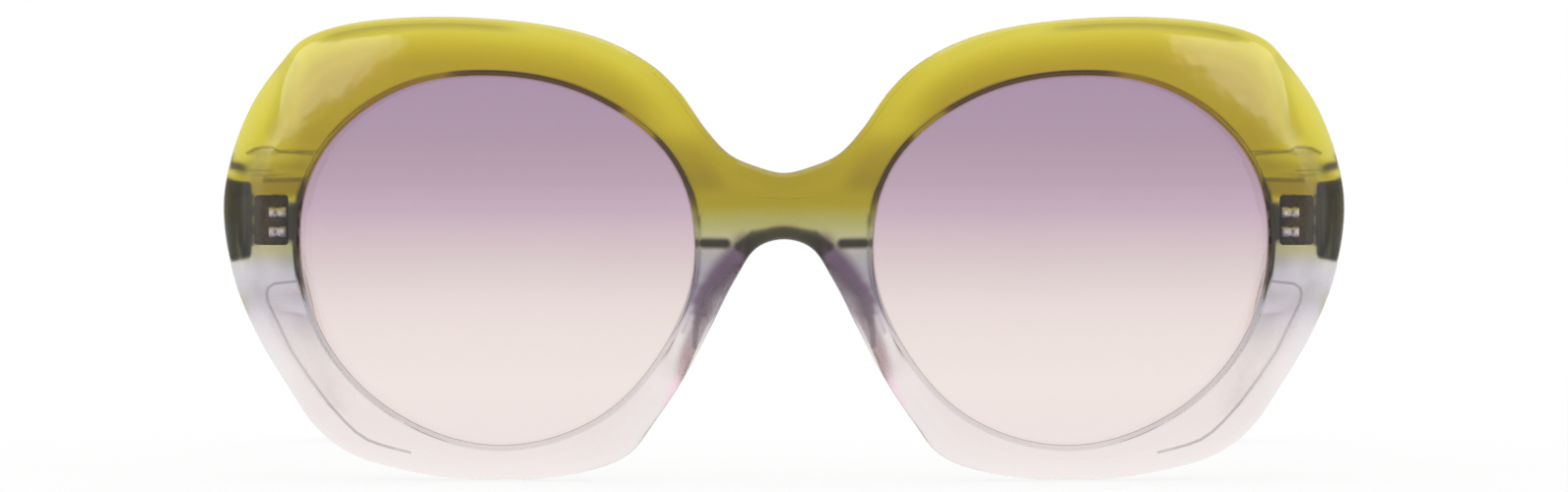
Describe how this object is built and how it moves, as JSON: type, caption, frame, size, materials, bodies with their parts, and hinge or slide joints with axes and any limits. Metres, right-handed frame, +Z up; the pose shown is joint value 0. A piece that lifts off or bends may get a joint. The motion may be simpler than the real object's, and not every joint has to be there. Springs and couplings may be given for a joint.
{
  "type": "sunglasses",
  "caption": "Rounded oversized sunglasses with a graduated translucent acetate front, gradient tinted lenses and temples that fold on barrel hinges.",
  "frame": {"origin": "on the surface that the sunglasses stand on, under the middle of their bounding box", "axes": "the lenses look along -Y, the open temples run back along +Y, +Z is up, and the mid-plane is X = 0"},
  "size_m": [0.144, 0.149, 0.0594],
  "materials": {
    "front_acetate": "tumble polished laminated cellulose acetate, olive at the top, grey and pale pink below",
    "temple_acetate": "tumble polished translucent olive cellulose acetate",
    "pad_acetate": "polished clear cellulose acetate",
    "lens": "polished plastic lens with a mauve tint that fades downwards",
    "hinge_metal": "nickel plated",
    "screw_metal": "turned steel",
    "core_wire": "drawn nickel silver wire"
  },
  "bodies": {
    "front": {"front_frame": "front_acetate", "lens_left": "lens", "lens_right": "lens", "nose_pad_left": "pad_acetate", "nose_pad_right": "pad_acetate", "front_hinge_leaf_left": "hinge_metal", "front_hinge_leaf_right": "hinge_metal", "hinge_screw_left": "screw_metal", "hinge_screw_right": "screw_metal"},
    "temple_right": {"temple_right": "temple_acetate", "temple_hinge_leaf_right": "hinge_metal", "temple_core_right": "core_wire"},
    "temple_left": {"temple_left": "temple_acetate", "temple_hinge_leaf_left": "hinge_metal", "temple_core_left": "core_wire"}
  },
  "joints": [
    {"name": "temple_right_fold", "type": "hinge", "parent": "front", "child": "temple_right", "pos_m": [0.06485, -0.05965, 0.03326], "axis": [0, 0, 1], "range_deg": [0, 91.2]},
    {"name": "temple_left_fold", "type": "hinge", "parent": "front", "child": "temple_left", "pos_m": [-0.06485, -0.05965, 0.03326], "axis": [0, 0, -1], "range_deg": [0, 87.6]}
  ]
}
